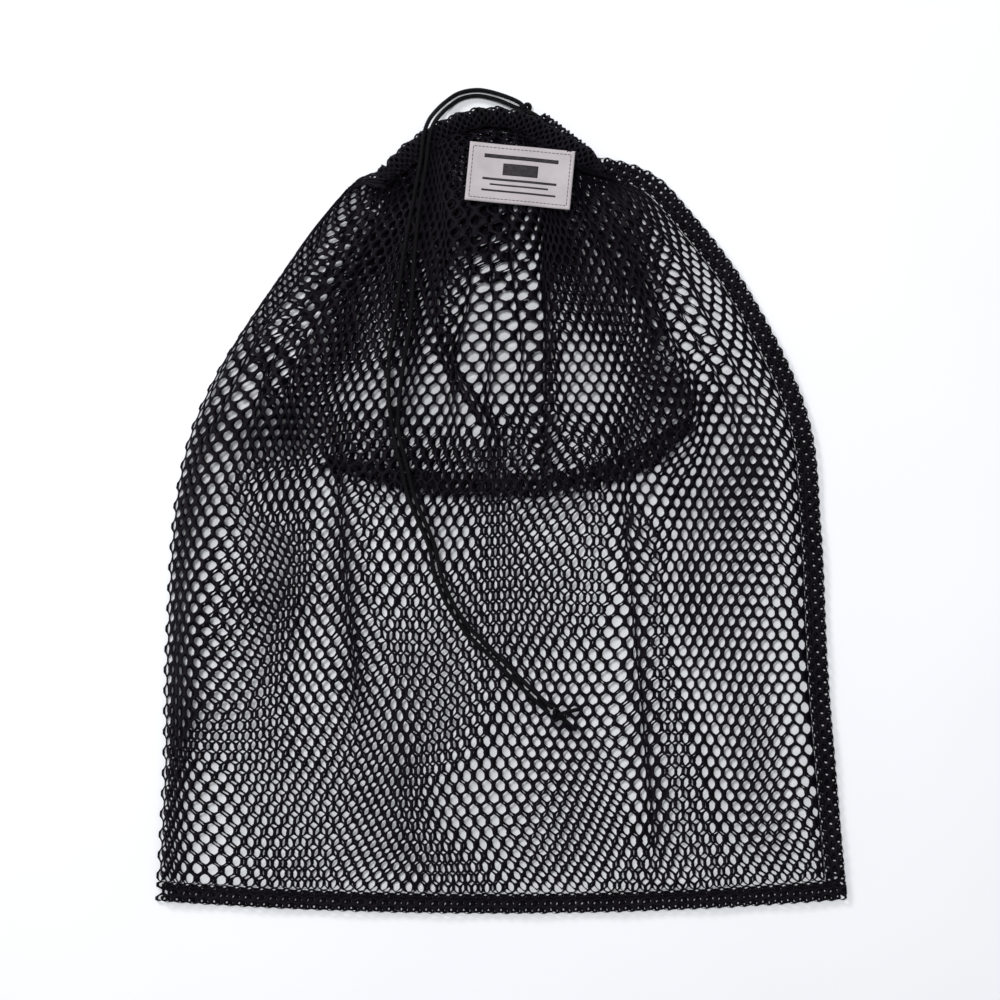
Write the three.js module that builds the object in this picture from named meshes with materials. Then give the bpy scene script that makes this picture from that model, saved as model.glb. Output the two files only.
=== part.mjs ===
// A drawstring laundry bag of open mesh, lying on its back, empty, with its mouth drawn shut.
//
// Frame: millimetres, +Z up, +X to the right of a person looking down at the bag, +Y from the
// bottom seam towards the mouth. The origin is the middle of the footprint, on the surface.
// The bag is one sheet of mesh folded along its left edge and sewn at the right and the bottom.
// Above the cord channel the sheet goes on as a deep collar, which is tucked down inside the bag.
import * as THREE from "three";

const HALF_WIDTH = 177.9;

// Cloth
const CLOTH = 1.0; // the thickness that one layer of mesh takes up
const COLLAR_CLOTH = 0.8;
const COLLAR_GAP = 0.7;
const COLLAR_SLACK = 5.0;
const GAP = 0.4; // air between layers that lie on each other
const SEAM_GAP = 0.3;
const LOFT = 10.8; // how far the front stands off the back in the middle of the bag
const ROLL_IN = 32; // width over which the front comes down to the back at the rim
const NECK_RISE = 2.2; // the gathers lift the front by this much more at the neck
const NECK_RISE_FROM_Y = 110;
const NECK_RISE_TO_Y = 170;

// Seams and hems
const SEAM_CLEAR = 0.8; // from the sewn line to the seam band, which bends differently
const SEAM_WIDTH = 9.7;
const SEAM_HEIGHT = 3.0;
const HEM_WIDTH = 13;
const HEM_HEIGHT = 1.6;
const THREAD = 0.6;

// Cord channel round the mouth
const CHANNEL_WIDTH = 8;
const CHANNEL_HEIGHT = 4.8;
const CHANNEL_BORE = 3.3;
const FRONT_RUN_Z = 12.5;
const BACK_RUN_Z = 2.5;
const SLEEVE_Z = 7.5;
const SLEEVE_WIDTH = 9.4;
const SLEEVE_HEIGHT = 4.4;
const SLEEVE_BORE_WIDTH = 6.6;
const SLEEVE_BORE_HEIGHT = 3.3;

// Drawcord
const CORD = 2.3; // diameter
const CORD_SIDES = 8;
const LEAD_IN_SLEEVE = 27; // cord that lies straight in the sleeve and can be pulled out
const LEAD_SPREAD = 1.5; // half the distance between the two leads
const KNOT = { along: 4.5, across: 4.5, up: 3.2 };
const KNOT_FROM_MOUTH = 7.5;
const END_KNOT = { along: 3.6, across: 3.2, up: 2.8 };
const TAIL = 9;

// Label
const LABEL = { width: 54, height: 30, thick: 0.6, x: 9.9, y: 172.4, z: 15.4, turn: -5.5 };
const LABEL_STITCH_INSET = 2;

const at = (x, y) => new THREE.Vector2(x, y);
const raised = (p, z) => new THREE.Vector3(p.x, p.y, z);
const mix = THREE.MathUtils.lerp;

// Lines of the bag in plan. The right and bottom lines are the sewn lines: the seams lie outside.
const neckLine = new THREE.SplineCurve([
  at(45.5, 180.6), at(29, 190.4), at(12, 199.8), at(-6, 202.8),
  at(-24, 198.5), at(-42, 188), at(-56, 175.8), at(-62.5, 169.6),
]);
const NECK_RUN_END = 0.93; // where the runs stop and the channel turns back, along the neck line
const PANEL_TO_NECK = -(CHANNEL_WIDTH / 2 + 2.4);

// The point beside a line, to the right of the way along it.
function beside(line, t, distance) {
  const p = line.getPointAt(t);
  const way = line.getTangentAt(t);
  return at(p.x + way.y * distance, p.y - way.x * distance);
}

const leftLine = new THREE.SplineCurve([
  at(-HALF_WIDTH, -190), at(-174.8, -129), at(-173.6, -70), at(-167.6, 12.7), at(-149.1, 68.4),
  at(-106.9, 129.7), at(-83.7, 155.4), at(-74, 157), beside(neckLine, 1, PANEL_TO_NECK),
]);
const rightLine = new THREE.SplineCurve([
  at(167.6, -190), at(162.5, -131), at(158.5, -80), at(155, -8), at(148, 50),
  at(118.5, 111), at(87, 152.5), at(70, 168), beside(neckLine, 0, PANEL_TO_NECK),
]);
const bottomLine = new THREE.QuadraticBezierCurve(
  at(-HALF_WIDTH, -190), at(0, -203), at(167.6, -190),
);
const topLine = { getPointAt: (u) => beside(neckLine, 1 - u, PANEL_TO_NECK) };

// The sheet between four lines that share their corners.
function patch(left, right, bottom, top) {
  return (u, v) => {
    const l = left.getPointAt(v);
    const r = right.getPointAt(v);
    const b = bottom.getPointAt(u);
    const t = top.getPointAt(u);
    const bl = left.getPointAt(0);
    const tl = left.getPointAt(1);
    const br = right.getPointAt(0);
    const tr = right.getPointAt(1);
    const along = (axis) => mix(b[axis], t[axis], v) + mix(l[axis], r[axis], u)
      - mix(mix(bl[axis], br[axis], u), mix(tl[axis], tr[axis], u), v);
    return at(along("x"), along("y"));
  };
}

// The front comes down to the back at the fold and at the sewn lines.
const rim = [leftLine, bottomLine, rightLine].flatMap((line) => line.getSpacedPoints(110));

function rimDistance(p) {
  return Math.min(...rim.map((q) => q.distanceTo(p)));
}

function rollUp(p) {
  return Math.sin(Math.min(1, rimDistance(p) / ROLL_IN) * Math.PI / 2);
}

function gathers(p) {
  return NECK_RISE * THREE.MathUtils.smoothstep(p.y, NECK_RISE_FROM_Y, NECK_RISE_TO_Y);
}

function frontUnderside(p) {
  return CLOTH + SEAM_GAP + (LOFT - SEAM_GAP + gathers(p)) * rollUp(p);
}

// The collar hangs freer of the front where the front rolls down to the rim.
function collarTopside(p) {
  const slack = COLLAR_SLACK * (1 - rollUp(p)) + gathers(p) / 2;
  const hanging = frontUnderside(p) - COLLAR_GAP - slack;
  return Math.max(hanging, CLOTH + 2 * (GAP + COLLAR_CLOTH) + 1);
}

// A closed slab: a box of nu by nv cells with each corner moved to place(u, v, w).
function slab(nu, nv, place) {
  const geometry = new THREE.BoxGeometry(1, 1, 1, nu, nv, 1);
  const position = geometry.getAttribute("position");
  for (let i = 0; i < position.count; i += 1) {
    const p = place(position.getX(i) + 0.5, position.getY(i) + 0.5, position.getZ(i) + 0.5);
    position.setXYZ(i, p.x, p.y, p.z);
  }
  geometry.computeVertexNormals();
  return geometry;
}

// A flat sheet with the outline of a patch.
function flatSheet(outline, z, thick, steps) {
  const corners = [];
  const side = Array.from({ length: steps }, (_, i) => i / steps);
  side.forEach((s) => corners.push(outline(s, 0)));
  side.forEach((s) => corners.push(outline(1, s)));
  side.forEach((s) => corners.push(outline(1 - s, 1)));
  side.forEach((s) => corners.push(outline(0, 1 - s)));
  const geometry = new THREE.ExtrudeGeometry(
    new THREE.Shape(corners), { depth: thick, bevelEnabled: false, curveSegments: 1 },
  );
  geometry.translate(0, 0, z);
  return geometry;
}

// A stretch of a plan line, raised to a height.
class Level extends THREE.Curve {
  constructor(line, z, from, to) {
    super();
    Object.assign(this, { line, z, from, to });
  }

  getPoint(t) {
    return raised(this.line.getPointAt(mix(this.from, this.to, t)), this.z);
  }
}

function sweep(section, path, steps, curveSegments) {
  return new THREE.ExtrudeGeometry(
    section, { extrudePath: path, steps, bevelEnabled: false, curveSegments },
  );
}

// Round bar of a stated number of sides, which must be even.
function bar(path, diameter, steps, sides) {
  const section = new THREE.Shape().absarc(0, 0, diameter / 2, 0, Math.PI * 2);
  return sweep(section, path, steps, sides / 2);
}

// Flattened tube of cloth with an opening along it for the cord.
function clothTube(path, steps, width, height, boreWidth, boreHeight) {
  const section = new THREE.Shape().absellipse(0, 0, height / 2, width / 2, 0, Math.PI * 2);
  const bore = new THREE.Path().absellipse(0, 0, boreHeight / 2, boreWidth / 2, 0, Math.PI * 2);
  section.holes.push(bore);
  return sweep(section, path, steps, 6);
}

const group = new THREE.Group();

const MESH = { color: 0x1f1c24, roughness: 0.75, metalness: 0 };
const CORD_LOOK = { color: 0x141216, roughness: 0.6, metalness: 0 };
const THREAD_LOOK = { color: 0x17151a, roughness: 0.6, metalness: 0 };
const LABEL_LOOK = { color: 0xbdb4b9, roughness: 0.8, metalness: 0 };

function add(name, geometry, look) {
  const mesh = new THREE.Mesh(geometry, new THREE.MeshStandardMaterial(look));
  mesh.name = name;
  group.add(mesh);
  return mesh;
}

// ---- the two panels -------------------------------------------------------------------------

const panel = patch(leftLine, rightLine, bottomLine, topLine);
const crowd = (t) => (1 - Math.cos(Math.PI * t)) / 2; // cells are smallest at the sides

add("back_panel", flatSheet(panel, 0, CLOTH, 18), MESH);
add("front_panel", slab(18, 22, (u, v, w) => {
  const p = panel(crowd(u), v);
  return raised(p, frontUnderside(p) + w * CLOTH);
}), MESH);

// ---- the sewn seams -------------------------------------------------------------------------

const SIDE_SEAM_END = 0.955; // the side seam stops short of the channel
const across = (w) => SEAM_CLEAR + w * SEAM_WIDTH;

add("side_seam", slab(1, 30, (u, v, w) => (
  raised(beside(rightLine, v * SIDE_SEAM_END, across(u)), w * SEAM_HEIGHT)
)), MESH);

add("bottom_seam", slab(24, 1, (u, v, w) => {
  const p = bottomLine.getPointAt(u);
  const x = mix(-HALF_WIDTH, HALF_WIDTH, u); // it also closes the foot of the side seam
  return raised(at(x, p.y - across(1 - v)), w * SEAM_HEIGHT);
}), MESH);

const SEAM_THREAD_Z = SEAM_HEIGHT + SEAM_GAP + THREAD / 2;
const SEAM_THREAD_IN = 2.5; // from the inner edge of the seam

function seamThread(line, distance, to, steps) {
  const points = Array.from({ length: steps + 1 }, (_, i) => (
    raised(beside(line, to * (0.01 + 0.98 * i / steps), distance), SEAM_THREAD_Z)
  ));
  return bar(new THREE.CatmullRomCurve3(points), THREAD, steps, 4);
}

add("side_seam_stitching", seamThread(rightLine, SEAM_THREAD_IN, SIDE_SEAM_END, 28), THREAD_LOOK);
add("bottom_seam_stitching", seamThread(bottomLine, SEAM_THREAD_IN, 1, 20), THREAD_LOOK);

// ---- the collar inside the neck -------------------------------------------------------------

// The tucked collar: its folded sides, its hem at the bottom, and the neck at the top.
const collarTop = { getPointAt: (u) => beside(neckLine, mix(0.8, 0.2, u), PANEL_TO_NECK) };
const collarLeft = new THREE.SplineCurve([
  at(-141, 43), at(-118, 70), at(-98, 88), at(-86, 112), at(-66, 146), collarTop.getPointAt(0),
]);
const collarRight = new THREE.SplineCurve([
  at(103, 54), at(92, 80), at(80, 112), at(62, 145), collarTop.getPointAt(1),
]);
const hemLine = new THREE.SplineCurve([
  at(-141, 43), at(-122, 37), at(-84, 29), at(-40, 22), at(0, 20.5), at(30, 21.5),
  at(62, 30), at(84, 42), at(103, 54),
]);
const collar = patch(collarLeft, collarRight, hemLine, collarTop);

add("collar_front", slab(14, 12, (u, v, w) => {
  const p = collar(u, v);
  return raised(p, collarTopside(p) - COLLAR_CLOTH * (1 - w));
}), MESH);
add("collar_back", flatSheet(collar, CLOTH + GAP, COLLAR_CLOTH, 14), MESH);

// The hem hangs below the collar's lower line.
function hem(name, z) {
  add(name, slab(22, 1, (u, v, w) => {
    const p = beside(hemLine, u, SEAM_CLEAR + (1 - v) * HEM_WIDTH);
    return raised(p, z(p, w));
  }), MESH);
}

hem("collar_hem_front", (p, w) => collarTopside(p) - HEM_HEIGHT * (1 - w));
hem("collar_hem_back", (p, w) => CLOTH + GAP + HEM_HEIGHT * w);

// ---- the cord channel -----------------------------------------------------------------------

const RUN_STEPS = 18;
const channelTube = (path, steps) => (
  clothTube(path, steps, CHANNEL_WIDTH, CHANNEL_HEIGHT, CHANNEL_BORE, CHANNEL_BORE)
);

add("channel_front", channelTube(new Level(neckLine, FRONT_RUN_Z, 0, NECK_RUN_END), RUN_STEPS), MESH);
add("channel_back", channelTube(new Level(neckLine, BACK_RUN_Z, 0, NECK_RUN_END), RUN_STEPS), MESH);

// At the fold the channel turns from the front over to the back.
const turnPoint = neckLine.getPointAt(NECK_RUN_END);
const turnWay = neckLine.getTangentAt(NECK_RUN_END);
const turnRadius = (FRONT_RUN_Z - BACK_RUN_Z) / 2;

class Turn extends THREE.Curve {
  getPoint(t) {
    const angle = Math.PI * t;
    const out = SEAM_GAP + turnRadius * Math.sin(angle);
    const p = turnPoint.clone().addScaledVector(turnWay, out);
    return raised(p, BACK_RUN_Z + turnRadius * (1 + Math.cos(angle)));
  }
}

add("channel_turn", channelTube(new Turn(), 8), MESH);

// At the side seam the channel's two ends run into one straight sleeve, and both ends of the
// cord leave the bag through it.
const sleeveIn = at(45.5, 181.6);
const sleeveMouth = at(18.5, 202.4);
const pull = sleeveMouth.clone().sub(sleeveIn).normalize();
const pullSide = at(-pull.y, pull.x);

// The point so far along the pull from the mouth, and so far to its left.
function byMouth(along, aside, z) {
  const p = sleeveMouth.clone().addScaledVector(pull, along).addScaledVector(pullSide, aside);
  return raised(p, z);
}

const sleevePath = new THREE.LineCurve3(
  raised(sleeveIn, SLEEVE_Z), raised(sleeveMouth, SLEEVE_Z),
);
add("channel_sleeve", clothTube(
  sleevePath, 1, SLEEVE_WIDTH, SLEEVE_HEIGHT, SLEEVE_BORE_WIDTH, SLEEVE_BORE_HEIGHT,
), MESH);

const CHANNEL_THREAD_IN = 3.4; // from the middle of the channel, where its side falls away
const CHANNEL_THREAD_UP = 1.9;

function channelThread(name, z) {
  const edge = { getPointAt: (t) => beside(neckLine, t, -CHANNEL_THREAD_IN) };
  const path = new Level(edge, z, 0.04, NECK_RUN_END - 0.03);
  add(name, bar(path, THREAD, RUN_STEPS, 4), THREAD_LOOK);
}

channelThread("channel_stitching_front", FRONT_RUN_Z + CHANNEL_THREAD_UP);
channelThread("channel_stitching_back", BACK_RUN_Z + CHANNEL_THREAD_UP);

// ---- the drawcord ---------------------------------------------------------------------------

// Inside the channel the cord goes once round the mouth.
const runPoints = (z, from, to) => Array.from({ length: 9 }, (_, i) => (
  raised(neckLine.getPointAt(mix(from, to, i / 8)), z)
));
const innerEnd = -LEAD_IN_SLEEVE - GAP;
const channelCord = new THREE.CatmullRomCurve3([
  byMouth(innerEnd, LEAD_SPREAD, SLEEVE_Z),
  byMouth(-34.5, LEAD_SPREAD, SLEEVE_Z),
  byMouth(-39.5, LEAD_SPREAD + 0.6, 9.0),
  byMouth(-40.0, 0.6, 11.8),
  ...runPoints(FRONT_RUN_Z, 0.03, NECK_RUN_END),
  new Turn().getPoint(0.3),
  new Turn().getPoint(0.5),
  new Turn().getPoint(0.7),
  ...runPoints(BACK_RUN_Z, NECK_RUN_END, 0.03),
  byMouth(-40.0, -0.6, 3.2),
  byMouth(-39.5, -LEAD_SPREAD - 0.6, 6.0),
  byMouth(-34.5, -LEAD_SPREAD, SLEEVE_Z),
  byMouth(innerEnd, -LEAD_SPREAD, SLEEVE_Z),
], false, "centripetal");
add("cord_in_channel", bar(channelCord, CORD, 60, CORD_SIDES), CORD_LOOK);

const knotCentre = byMouth(KNOT_FROM_MOUTH, 0, SLEEVE_Z);

function lead(name, aside) {
  const path = new THREE.LineCurve3(
    byMouth(-LEAD_IN_SLEEVE, aside, SLEEVE_Z),
    byMouth(KNOT_FROM_MOUTH - KNOT.along - GAP / 2, aside, SLEEVE_Z),
  );
  add(name, bar(path, CORD, 2, CORD_SIDES), CORD_LOOK);
}

lead("cord_lead_a", LEAD_SPREAD);
lead("cord_lead_b", -LEAD_SPREAD);

// A knot's rough shape, turned so that it lies along the cord.
function knot(name, centre, radii, turn) {
  const geometry = new THREE.SphereGeometry(1, 12, 8).scale(radii.along, radii.across, radii.up);
  const mesh = add(name, geometry, CORD_LOOK);
  mesh.position.copy(centre);
  mesh.rotation.z = turn;
}

knot("exit_knot", knotCentre, KNOT, Math.atan2(pull.y, pull.x));

// The two strands side by side: the middle line between them, and half the distance between
// their middles.
const strandRoute = [
  [8.8, 209.8, 7.2, 1.5], [-1.4, 214.6, 3.4, 1.5], [-11.5, 217.0, 1.6, 1.5],
  [-20.5, 215.6, 1.5, 1.5], [-27.0, 211.4, 2.4, 1.5], [-32.0, 205.6, 8.8, 1.5],
  [-35.6, 199.4, 15.2, 1.5], [-37.8, 192.0, 16.9, 1.5], [-39.4, 179.0, 16.9, 1.5],
  [-43.6, 154.0, 16.8, 1.9], [-46.8, 131.0, 15.9, 2.8], [-49.6, 102.0, 14.6, 3.8],
  [-52.3, 84.5, 14.4, 4.0], [-54.3, 64.0, 14.4, 3.1], [-53.8, 43.5, 14.4, 1.6],
  [-49.2, 23.0, 14.4, 1.5], [-44.8, 6.0, 14.4, 1.5], [-35.6, -15.8, 14.4, 1.5],
  [-32.0, -31.4, 14.4, 1.5], [-26.4, -45.6, 14.4, 1.5], [-17.2, -59.4, 14.4, 1.5],
  [-6.9, -69.8, 14.4, 1.5], [3.8, -80.4, 14.4, 1.5], [13.1, -89.7, 14.4, 1.5],
  [21.0, -97.0, 14.6, 1.5], [25.6, -101.0, 15.2, 1.5],
];
const STRAND_STEPS = 40;

function strandPoints(side) {
  const middle = new THREE.CatmullRomCurve3(strandRoute.map(([x, y, z]) => (
    new THREE.Vector3(x, y, z)
  )), false, "centripetal");
  return strandRoute.map(([x, y, z, half], i) => {
    const way = middle.getTangent(i / (strandRoute.length - 1));
    const offset = at(way.y, -way.x).normalize().multiplyScalar(side * half);
    return new THREE.Vector3(x + offset.x, y + offset.y, z);
  });
}

function strand(name, side) {
  const path = new THREE.CatmullRomCurve3(strandPoints(side), false, "centripetal");
  add(name, bar(path, CORD, STRAND_STEPS, CORD_SIDES), CORD_LOOK);
  return path;
}

strand("cord_strand_a", -1);
strand("cord_strand_b", 1);

// The end knot ties the strands together, and two short tails stick out of it.
const endKnotCentre = new THREE.Vector3(29.0, -103.6, 16.0);
const tailTurn = Math.PI / 10;
knot("end_knot", endKnotCentre, END_KNOT, -Math.PI / 4);

function tail(name, turn) {
  const way = new THREE.Vector3(Math.cos(turn), Math.sin(turn), -0.08);
  const from = endKnotCentre.clone().addScaledVector(way, END_KNOT.along + GAP);
  const to = from.clone().addScaledVector(way, TAIL);
  add(name, bar(new THREE.LineCurve3(from, to), CORD, 2, CORD_SIDES), CORD_LOOK);
}

tail("cord_tail_a", tailTurn);
tail("cord_tail_b", -tailTurn * 2);

// ---- the label ------------------------------------------------------------------------------

function onLabel(name, geometry, z, look) {
  const mesh = add(name, geometry, look);
  mesh.position.set(LABEL.x, LABEL.y, z);
  mesh.rotation.z = THREE.MathUtils.degToRad(LABEL.turn);
}

function rectangle(width, height, reverse) {
  const corners = [
    at(-width / 2, -height / 2), at(width / 2, -height / 2),
    at(width / 2, height / 2), at(-width / 2, height / 2),
  ];
  return reverse ? corners.reverse() : corners;
}

onLabel("label", new THREE.BoxGeometry(LABEL.width, LABEL.height, LABEL.thick),
  LABEL.z + LABEL.thick / 2, LABEL_LOOK);

const stitchWidth = LABEL.width - 2 * LABEL_STITCH_INSET;
const stitchHeight = LABEL.height - 2 * LABEL_STITCH_INSET;
const stitchFrame = new THREE.Shape(rectangle(stitchWidth, stitchHeight, false));
stitchFrame.holes.push(
  new THREE.Path(rectangle(stitchWidth - 2 * THREAD, stitchHeight - 2 * THREAD, true)),
);
onLabel("label_stitching",
  new THREE.ExtrudeGeometry(stitchFrame, { depth: THREAD / 2, bevelEnabled: false }),
  LABEL.z + LABEL.thick + SEAM_GAP, THREAD_LOOK);

export default group;
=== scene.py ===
import math

import bpy
import numpy as np
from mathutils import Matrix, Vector


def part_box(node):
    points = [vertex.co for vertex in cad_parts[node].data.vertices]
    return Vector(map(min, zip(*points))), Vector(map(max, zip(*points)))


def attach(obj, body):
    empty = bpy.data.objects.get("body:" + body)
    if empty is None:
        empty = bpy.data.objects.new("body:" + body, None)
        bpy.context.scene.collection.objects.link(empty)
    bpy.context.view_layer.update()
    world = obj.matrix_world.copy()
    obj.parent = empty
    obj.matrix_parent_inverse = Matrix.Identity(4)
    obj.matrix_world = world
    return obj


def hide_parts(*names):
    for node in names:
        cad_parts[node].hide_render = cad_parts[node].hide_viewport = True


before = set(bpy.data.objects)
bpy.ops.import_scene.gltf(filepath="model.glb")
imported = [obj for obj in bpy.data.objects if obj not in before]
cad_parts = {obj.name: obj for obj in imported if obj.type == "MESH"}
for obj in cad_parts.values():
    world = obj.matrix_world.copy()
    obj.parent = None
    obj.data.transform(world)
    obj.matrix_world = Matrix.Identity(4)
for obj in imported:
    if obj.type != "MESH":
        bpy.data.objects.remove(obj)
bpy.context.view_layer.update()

# A mesh laundry bag lying on its back with its mouth drawn shut. Metres, +Z up, +Y towards the
# mouth. The net is real geometry: each strand of the knitted mesh is modelled, and the sheets,
# seams and hems are nets laid over curved surfaces that follow the CAD model's lines.

MM = 0.001
rng = np.random.default_rng(7)


# ---- camera ---------------------------------------------------------------------------------

VIEW_WIDTH = 0.515  # metres of the bag's plane across the picture
LENS = 85.0
SENSOR = 36.0
CAMERA_AT = (-0.0003, 0.0066)
MID_HEIGHT = 0.006


def make_camera():
    data = bpy.data.cameras.new("camera")
    data.lens = LENS
    data.sensor_width = SENSOR
    camera = bpy.data.objects.new("camera", data)
    bpy.context.collection.objects.link(camera)
    distance = VIEW_WIDTH * LENS / SENSOR
    camera.location = (CAMERA_AT[0], CAMERA_AT[1], distance + MID_HEIGHT)
    bpy.context.scene.camera = camera


make_camera()


# ---- small geometry helpers -----------------------------------------------------------------

def make_piece(name, vertices, faces, material, smooth=True):
    mesh = bpy.data.meshes.new(name)
    mesh.from_pydata(np.asarray(vertices).tolist(), [], [list(f) for f in faces])
    mesh.validate()
    if smooth:
        mesh.polygons.foreach_set("use_smooth", [True] * len(mesh.polygons))
    mesh.update()
    piece = bpy.data.objects.new(name, mesh)
    bpy.context.collection.objects.link(piece)
    mesh.materials.append(material)
    return piece


def catmull(points, samples_per_span=24):
    """A smooth line through the points, as a dense list of points."""
    p = np.asarray(points, dtype=float)
    ends = np.vstack([p[0], p, p[-1]])
    t = np.linspace(0, 1, samples_per_span, endpoint=False)[:, None]
    spans = []
    for a, b, c, d in zip(ends[:-3], ends[1:-2], ends[2:-1], ends[3:]):
        spans.append(0.5 * (
            2 * b + (c - a) * t + (2 * a - 5 * b + 4 * c - d) * t ** 2
            + (3 * b - a - 3 * c + d) * t ** 3
        ))
    return np.vstack(spans + [p[-1:]])


class Line:
    """A line through dense points that is read by the share of its length."""

    def __init__(self, dense):
        self.points = np.asarray(dense, dtype=float)
        steps = np.linalg.norm(np.diff(self.points, axis=0), axis=1)
        self.length = steps.sum()
        self.share = np.concatenate([[0], np.cumsum(steps)]) / self.length

    def at(self, t):
        t = np.asarray(t, dtype=float)
        axes = [np.interp(t, self.share, self.points[:, k]) for k in range(self.points.shape[1])]
        return np.stack(axes, axis=-1)

    def way(self, t):
        step = 0.004
        lower = np.clip(np.asarray(t, dtype=float) - step, 0, 1)
        upper = np.clip(lower + 2 * step, 0, 1)
        d = self.at(upper) - self.at(upper - 2 * step)
        return d / np.linalg.norm(d, axis=-1, keepdims=True)

    def beside(self, t, distance):
        """The point so far to the right of the way along the line, in plan."""
        w = self.way(t)
        side = np.stack([w[..., 1], -w[..., 0]], axis=-1)
        return self.at(t)[..., :2] + side * np.asarray(distance)[..., None]


def smooth_step(x, low, high):
    t = np.clip((np.asarray(x, dtype=float) - low) / (high - low), 0, 1)
    return t * t * (3 - 2 * t)


def tube_frames(path):
    """Tangent, side and up vectors along a path, carried on without twist."""
    way = np.gradient(path, axis=0)
    way /= np.linalg.norm(way, axis=1, keepdims=True)
    side = np.zeros_like(way)
    first = np.cross(way[0], (0.0, 0.0, 1.0))
    if np.linalg.norm(first) < 1e-6:
        first = np.array((1.0, 0.0, 0.0))
    side[0] = first / np.linalg.norm(first)
    for i in range(1, len(path)):
        s = side[i - 1] - way[i] * np.dot(side[i - 1], way[i])
        side[i] = s / np.linalg.norm(s)
    return way, side, np.cross(side, way)


def grid_faces(rows, columns, wrap):
    """Quads of a grid of points, closed round its columns where wrap is true."""
    last = columns if wrap else columns - 1
    r, c = np.meshgrid(np.arange(rows - 1), np.arange(last), indexing="ij")
    nxt = (c + 1) % columns
    quads = np.stack([
        r * columns + c, r * columns + nxt, (r + 1) * columns + nxt, (r + 1) * columns + c,
    ], axis=-1)
    return quads.reshape(-1, 4)


# ---- materials ------------------------------------------------------------------------------

KNIT_SPECULAR = 0.1


def new_material(name, roughness, sheen=0.0, specular=0.5):
    material = bpy.data.materials.new(name)
    material.use_nodes = True
    shader = material.node_tree.nodes["Principled BSDF"]
    shader.inputs["Roughness"].default_value = roughness
    shader.inputs["Sheen Weight"].default_value = sheen
    shader.inputs["Specular IOR Level"].default_value = specular
    return material, shader


def link(material, a, b):
    material.node_tree.links.new(a, b)


def add_node(material, kind, **inputs):
    node = material.node_tree.nodes.new(kind)
    for key, value in inputs.items():
        node.inputs[key.replace("_", " ")].default_value = value
    return node


def object_coordinates(material):
    return material.node_tree.nodes.new("ShaderNodeTexCoord").outputs["Object"]


def colour_by(material, shader, factor, dark, light):
    """The base colour runs from dark to light with the factor."""
    ramp = material.node_tree.nodes.new("ShaderNodeValToRGB")
    ramp.color_ramp.elements[0].position = 0.3
    ramp.color_ramp.elements[0].color = (*dark, 1)
    ramp.color_ramp.elements[1].position = 0.75
    ramp.color_ramp.elements[1].color = (*light, 1)
    link(material, factor, ramp.inputs["Fac"])
    link(material, ramp.outputs["Color"], shader.inputs["Base Color"])


def bump_by(material, shader, height, strength, distance):
    bump = add_node(material, "ShaderNodeBump", Strength=strength, Distance=distance)
    link(material, height, bump.inputs["Height"])
    link(material, bump.outputs["Normal"], shader.inputs["Normal"])


def knitted_material(name, dark, light, roughness):
    """Knitted polyester strands: fine loops across the strand and slow changes of tone."""
    material, shader = new_material(name, roughness, 0.0, KNIT_SPECULAR)
    place = object_coordinates(material)
    tone = add_node(material, "ShaderNodeTexNoise", Scale=45.0, Detail=6.0, Roughness=0.7)
    link(material, place, tone.inputs["Vector"])
    colour_by(material, shader, tone.outputs["Fac"], dark, light)
    loops = material.node_tree.nodes.new("ShaderNodeTexWave")
    loops.wave_type = "BANDS"
    loops.bands_direction = "DIAGONAL"
    loops.inputs["Scale"].default_value = 900.0
    loops.inputs["Distortion"].default_value = 6.0
    loops.inputs["Detail"].default_value = 2.0
    loops.inputs["Detail Scale"].default_value = 3.0
    link(material, place, loops.inputs["Vector"])
    bump_by(material, shader, loops.outputs["Fac"], 0.7, 0.00025)
    return material


NET = knitted_material("net_polyester", (0.0022, 0.0015, 0.0032), (0.0085, 0.0060, 0.0110), 0.5)
SEAM = knitted_material("seam_polyester", (0.0020, 0.0014, 0.0028), (0.0075, 0.0055, 0.0100),
                        0.55)
CORD = knitted_material("cord_polyester", (0.0015, 0.0012, 0.0018), (0.0030, 0.0026, 0.0036),
                        0.45)
THREAD = knitted_material("sewing_thread", (0.0022, 0.0016, 0.0028), (0.0090, 0.0070, 0.0110),
                          0.4)


# ---- lines of the bag, as in the CAD model but for the left shoulder ------------------------

def plan(*points):
    return Line(catmull(np.array(points) * MM))


NECK_LINE = plan(
    (45.5, 180.6), (29, 190.4), (12, 199.8), (-6, 202.8),
    (-24, 198.5), (-42, 188), (-56, 175.8), (-62.5, 169.6),
)
PANEL_TO_NECK = -6.4 * MM
NECK_LEFT = NECK_LINE.beside(1.0, PANEL_TO_NECK) / MM
NECK_RIGHT = NECK_LINE.beside(0.0, PANEL_TO_NECK) / MM
LEFT_LINE = plan(
    (-177.9, -190), (-174.8, -129), (-173.6, -70), (-167.6, 12.7), (-149.1, 68.4),
    (-107.5, 131), (-87, 156.5), (-73, 168), tuple(NECK_LEFT),
)
RIGHT_LINE = plan(
    (167.6, -190), (162.5, -131), (158.5, -80), (155, -8), (148, 50),
    (118.5, 111), (87, 152.5), (70, 168), tuple(NECK_RIGHT),
)
BOTTOM_LINE = Line([
    ((1 - t) ** 2 * np.array((-177.9, -190)) + 2 * t * (1 - t) * np.array((0, -203))
     + t ** 2 * np.array((167.6, -190))) * MM
    for t in np.linspace(0, 1, 80)
])

# Heights of the front's plateau and of the neck, how far in the rim rolls, and the rim's height.
PLATEAU = 12.6 * MM
NECK_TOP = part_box("front_panel")[1][2]
ROLL_IN = 32 * MM
EDGE_HEIGHT = 1.5 * MM

# The net's cell, as cut.
CELL_WIDTH = 6.45 * MM
ROW_PITCH = 5.1 * MM
PANEL_COLUMNS = 54
PANEL_ROWS = 76


# ---- the sheets' surfaces -------------------------------------------------------------------

GRID_U = 281
GRID_V = 321


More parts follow.
